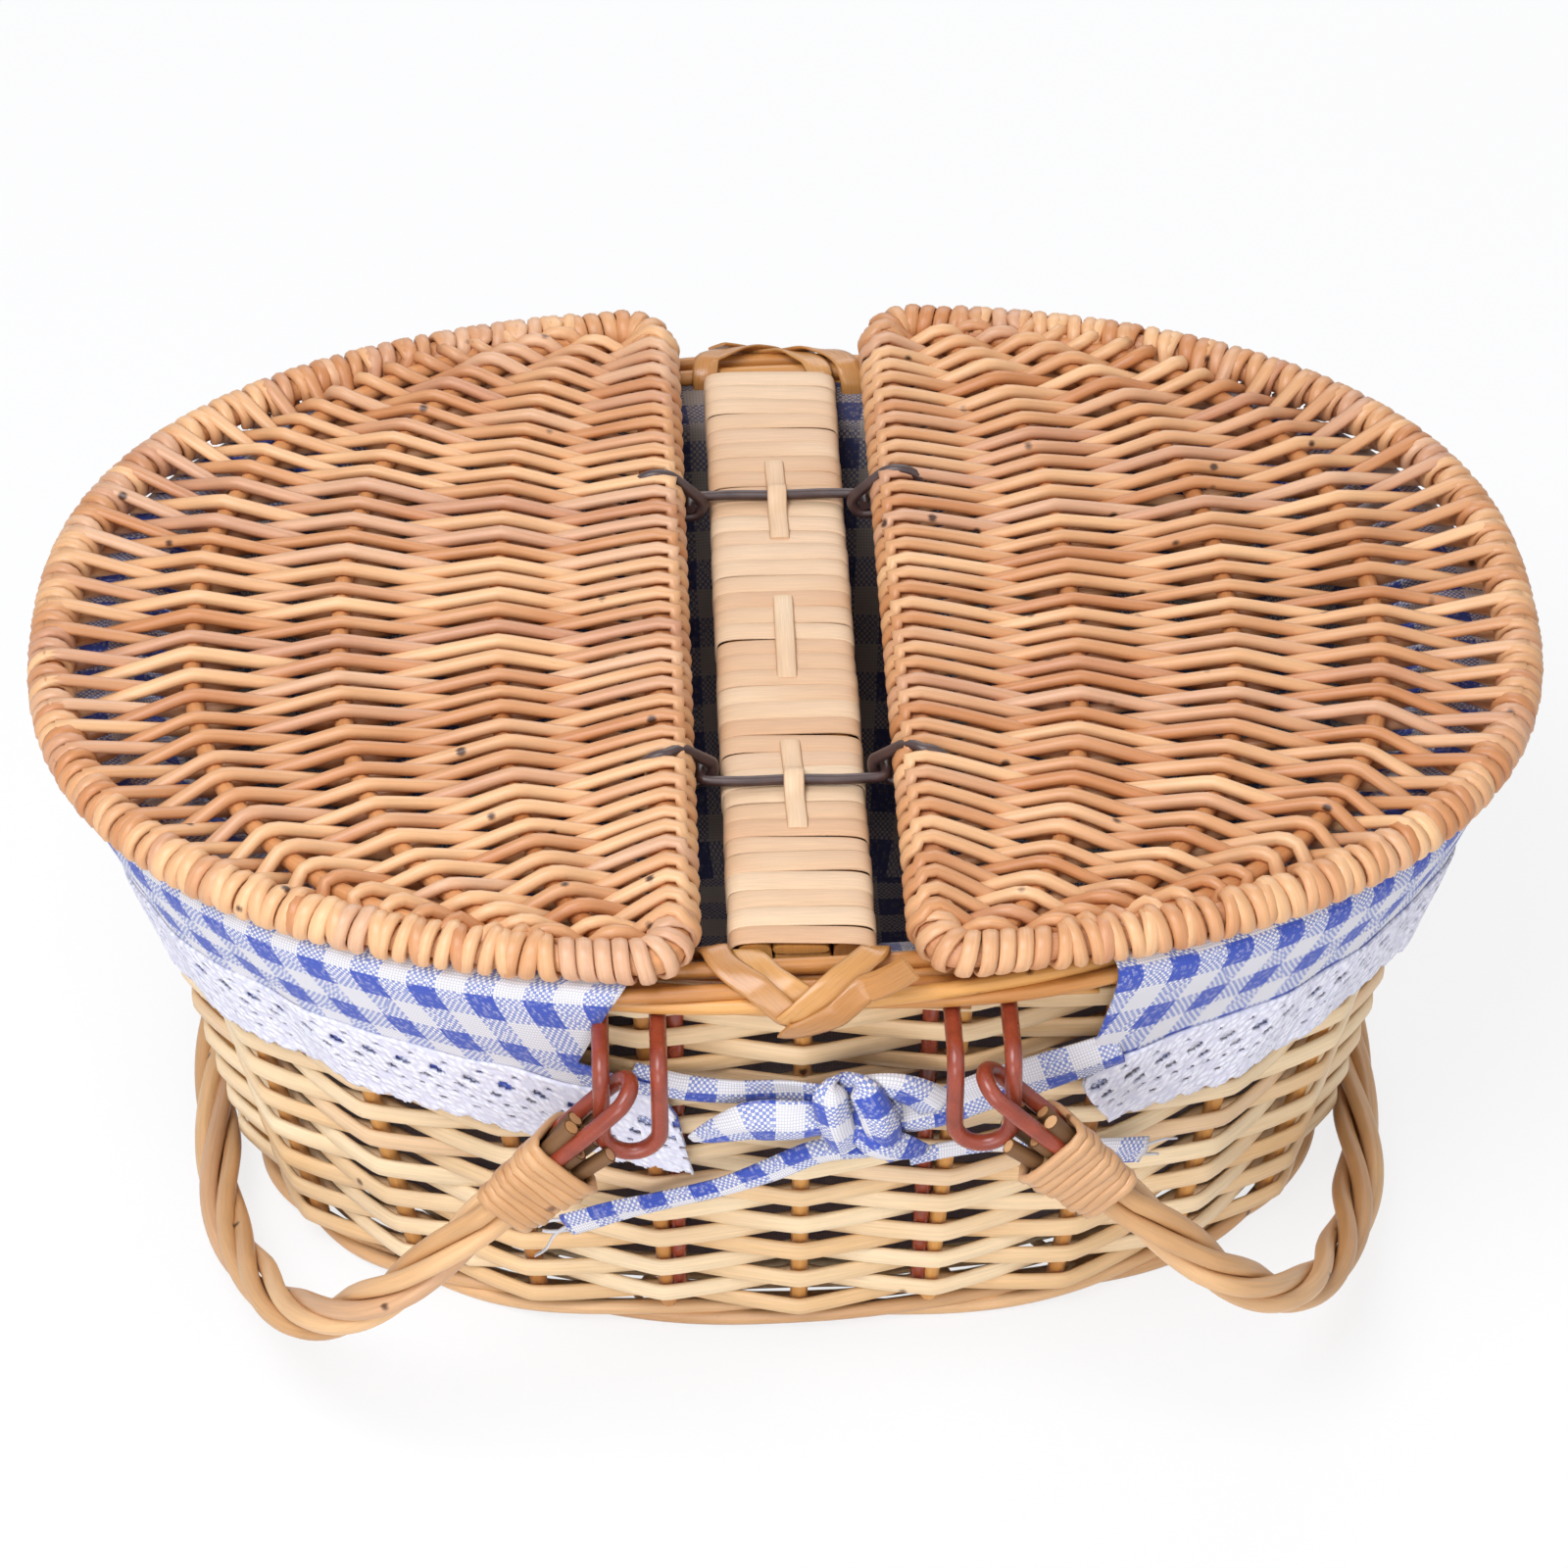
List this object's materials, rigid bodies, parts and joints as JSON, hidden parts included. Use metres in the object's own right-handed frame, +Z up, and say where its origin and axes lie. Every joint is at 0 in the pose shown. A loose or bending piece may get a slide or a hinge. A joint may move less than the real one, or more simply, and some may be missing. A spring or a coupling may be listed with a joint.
{
  "type": "picnic basket",
  "caption": "Oval willow picnic basket with a fixed centre bar, woven flap lids on wire hinges, a checked lace-edged liner and drop handles on linked wire loops.",
  "frame": {"origin": "middle of the base, on the surface that the basket stands on", "axes": "+X along the longer side, +Y towards the rear, +Z up"},
  "size_m": [0.4, 0.3264, 0.1701],
  "materials": {
    "pale_willow": "peeled split willow, low sheen",
    "honey_willow": "buff willow rods with a thin varnish",
    "amber_willow": "thicker buff willow rods",
    "split_skein": "flat split skein, low sheen",
    "dark_wire": "dark brown coated wire",
    "red_wire": "red-brown coated wire",
    "gingham": "blue and white checked cotton",
    "lace": "white cotton lace"
  },
  "bodies": {
    "basket": {"base_weave": "pale_willow", "base_hoop": "amber_willow", "wall_weave": "pale_willow", "stake_frame": "amber_willow", "rim_top_rod": "honey_willow", "rim_outer_upper": "honey_willow", "rim_outer_lower": "honey_willow", "rim_inner_rod": "honey_willow", "loop_front_left": "red_wire", "loop_front_right": "red_wire", "loop_rear_left": "red_wire", "loop_rear_right": "red_wire", "liner_bag": "gingham", "cuff_left": "gingham", "cuff_right": "gingham", "lace_left": "lace", "lace_right": "lace", "tie_front": "gingham", "tie_rear": "gingham", "bar_slat": "honey_willow", "bar_rod_left": "amber_willow", "bar_rod_right": "amber_willow", "bar_wrap": "split_skein", "bar_strip_front": "split_skein", "bar_strip_middle": "split_skein", "bar_strip_rear": "split_skein", "bar_lashing_front": "split_skein", "bar_lashing_rear": "split_skein", "hinge_wire_front": "dark_wire", "hinge_wire_rear": "dark_wire"},
    "left_lid": {"left_lid_weave": "honey_willow", "left_lid_bow": "amber_willow", "left_lid_spine": "amber_willow", "left_lid_rib_inner": "amber_willow", "left_lid_rib_middle": "amber_willow", "left_lid_rib_outer": "amber_willow", "left_lid_tie_front": "dark_wire", "left_lid_tie_rear": "dark_wire"},
    "left_handle": {"left_handle_rod_1": "honey_willow", "left_handle_rod_2": "honey_willow", "left_handle_rod_3": "honey_willow", "left_handle_binding_front": "split_skein", "left_handle_ring_front": "red_wire", "left_handle_binding_rear": "split_skein", "left_handle_ring_rear": "red_wire"},
    "right_lid": {"right_lid_weave": "honey_willow", "right_lid_bow": "amber_willow", "right_lid_spine": "amber_willow", "right_lid_rib_inner": "amber_willow", "right_lid_rib_middle": "amber_willow", "right_lid_rib_outer": "amber_willow", "right_lid_tie_front": "dark_wire", "right_lid_tie_rear": "dark_wire"},
    "right_handle": {"right_handle_rod_1": "honey_willow", "right_handle_rod_2": "honey_willow", "right_handle_rod_3": "honey_willow", "right_handle_binding_front": "split_skein", "right_handle_ring_front": "red_wire", "right_handle_binding_rear": "split_skein", "right_handle_ring_rear": "red_wire"}
  },
  "joints": [
    {"name": "left_lid_hinge", "type": "hinge", "parent": "basket", "child": "left_lid", "pos_m": [-0.024, 0, 0.1591], "axis": [0, 1, 0], "range_deg": [0, 90]},
    {"name": "right_lid_hinge", "type": "hinge", "parent": "basket", "child": "right_lid", "pos_m": [0.024, 0, 0.1591], "axis": [0, -1, 0], "range_deg": [0, 90]},
    {"name": "left_handle_swing", "type": "hinge", "parent": "basket", "child": "left_handle", "pos_m": [-0.0507, 0, 0.129], "axis": [0, 1, 0], "range_deg": [0, 112]},
    {"name": "right_handle_swing", "type": "hinge", "parent": "basket", "child": "right_handle", "pos_m": [0.0507, 0, 0.129], "axis": [0, -1, 0], "range_deg": [0, 112]}
  ]
}
